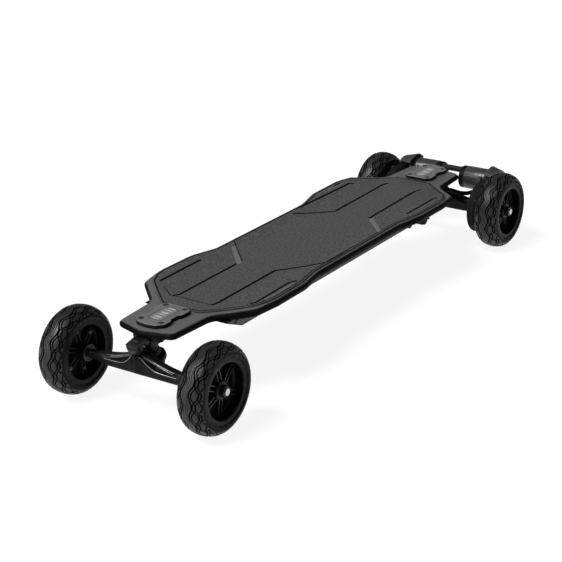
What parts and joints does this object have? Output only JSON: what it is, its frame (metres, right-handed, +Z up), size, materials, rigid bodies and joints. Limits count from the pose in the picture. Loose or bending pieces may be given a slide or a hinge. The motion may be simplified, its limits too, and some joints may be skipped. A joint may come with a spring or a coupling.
{
  "type": "electric longboard",
  "caption": "Electric longboard: concave deck with grip pad, battery box below, two carving trucks, four treaded pneumatic wheels and a belt drive on the rear truck.",
  "frame": {"origin": "on the ground, under the middle of the bounding box", "axes": "+X towards the nose, +Y to the rider's left, +Z up"},
  "size_m": [1.22, 0.35, 0.1607],
  "materials": {
    "deck_composite": "satin, fine weave",
    "grip_foam": "sandy, matte",
    "plate_metal": "grained black anodised",
    "black_steel": "black oxide",
    "forged_black": "satin black anodised forging",
    "bright_steel": "machined",
    "urethane": "satin",
    "box_shell": "fine texture",
    "black_rubber": "matte",
    "cell_wrap": "heat-shrink wrap",
    "controller_case": "finned, anodised",
    "cable_jacket": "woven sleeve",
    "tyre_rubber": "treaded, matte crown",
    "hub_alloy": "satin black",
    "motor_can": "satin black",
    "belt_rubber": "matte, ribbed",
    "cover_plastic": "fine texture"
  },
  "bodies": {
    "board": {"deck": "deck_composite", "grip_pad": "grip_foam", "truck_plate_front": "plate_metal", "truck_plate_rear": "plate_metal", "truck_bolts": "black_steel", "truck_nuts": "bright_steel", "baseplate_front": "forged_black", "baseplate_rear": "forged_black", "pivot_cup_front": "urethane", "pivot_cup_rear": "urethane", "kingpins": "bright_steel", "kingpin_nuts": "bright_steel", "bushings_front": "urethane", "bushings_rear": "urethane", "bushing_washers": "bright_steel", "enclosure": "box_shell", "enclosure_gasket": "black_rubber", "enclosure_screws": "black_steel", "battery_pack": "cell_wrap", "motor_controller": "controller_case", "charge_port": "box_shell", "cable_glands": "box_shell", "motor_cable_left": "cable_jacket", "motor_cable_right": "cable_jacket"},
    "power_button": {"power_button": "bright_steel"},
    "charge_port_cap": {"charge_port_cap": "black_rubber"},
    "front_truck": {"hanger_front": "forged_black", "axle_front": "bright_steel", "axle_hardware_front": "bright_steel"},
    "rear_truck": {"hanger_rear": "forged_black", "axle_rear": "bright_steel", "axle_hardware_rear": "bright_steel", "motor_mount_left": "forged_black", "motor_mount_right": "forged_black", "motor_screws": "bright_steel", "motor_housing_left": "motor_can", "motor_housing_right": "motor_can", "motor_brace": "forged_black", "belt_left": "belt_rubber", "belt_right": "belt_rubber", "belt_cover_left": "cover_plastic", "belt_cover_right": "cover_plastic"},
    "wheel_front_left": {"tyre_front_left": "tyre_rubber", "hub_front_left": "hub_alloy", "bearings_front_left": "bright_steel"},
    "wheel_front_right": {"tyre_front_right": "tyre_rubber", "hub_front_right": "hub_alloy", "bearings_front_right": "bright_steel"},
    "wheel_rear_left": {"tyre_rear_left": "tyre_rubber", "hub_rear_left": "hub_alloy", "bearings_rear_left": "bright_steel", "wheel_pulley_left": "forged_black"},
    "wheel_rear_right": {"tyre_rear_right": "tyre_rubber", "hub_rear_right": "hub_alloy", "bearings_rear_right": "bright_steel", "wheel_pulley_right": "forged_black"},
    "motor_left": {"motor_rotor_left": "bright_steel", "motor_pulley_left": "bright_steel"},
    "motor_right": {"motor_rotor_right": "bright_steel", "motor_pulley_right": "bright_steel"}
  },
  "joints": [
    {"name": "front_steer", "type": "hinge", "parent": "board", "child": "front_truck", "pos_m": [0.549, 0, 0.125], "axis": [0.829, 0, 0.5592], "range_deg": [-18, 18], "stiffness_Nm_per_rad": 60, "deforming": ["bushings_front"]},
    {"name": "rear_steer", "type": "hinge", "parent": "board", "child": "rear_truck", "pos_m": [-0.529, 0, 0.125], "axis": [-0.829, 0, 0.5592], "range_deg": [-18, 18], "stiffness_Nm_per_rad": 60, "deforming": ["bushings_rear", "motor_cable_left", "motor_cable_right"]},
    {"name": "wheel_spin_front_left", "type": "hinge", "parent": "front_truck", "child": "wheel_front_left", "pos_m": [0.53, 0.148, 0.08], "axis": [0, 1, 0], "continuous": true},
    {"name": "wheel_spin_front_right", "type": "hinge", "parent": "front_truck", "child": "wheel_front_right", "pos_m": [0.53, -0.148, 0.08], "axis": [0, 1, 0], "continuous": true},
    {"name": "wheel_spin_rear_left", "type": "hinge", "parent": "rear_truck", "child": "wheel_rear_left", "pos_m": [-0.51, 0.148, 0.08], "axis": [0, 1, 0], "continuous": true},
    {"name": "wheel_spin_rear_right", "type": "hinge", "parent": "rear_truck", "child": "wheel_rear_right", "pos_m": [-0.51, -0.148, 0.08], "axis": [0, 1, 0], "continuous": true},
    {"name": "motor_spin_left", "type": "hinge", "parent": "rear_truck", "child": "motor_left", "pos_m": [-0.577, 0.1, 0.1165], "axis": [0, 1, 0], "continuous": true},
    {"name": "motor_spin_right", "type": "hinge", "parent": "rear_truck", "child": "motor_right", "pos_m": [-0.577, -0.1, 0.1165], "axis": [0, 1, 0], "continuous": true},
    {"name": "power_button_press", "type": "slide", "parent": "board", "child": "power_button", "axis": [0, -1, 0], "range_m": [0, 0.0015], "stiffness_N_per_m": 900, "springref_m": -0.001},
    {"name": "charge_port_cap_swing", "type": "hinge", "parent": "board", "child": "charge_port_cap", "pos_m": [-0.296, 0.0918, 0.118], "axis": [0, 0, 1], "range_deg": [0, 150]}
  ],
  "couplings": [
    {"joint": "motor_spin_left", "follows": "wheel_spin_rear_left", "ratio": 4.4},
    {"joint": "motor_spin_right", "follows": "wheel_spin_rear_right", "ratio": 4.4}
  ]
}
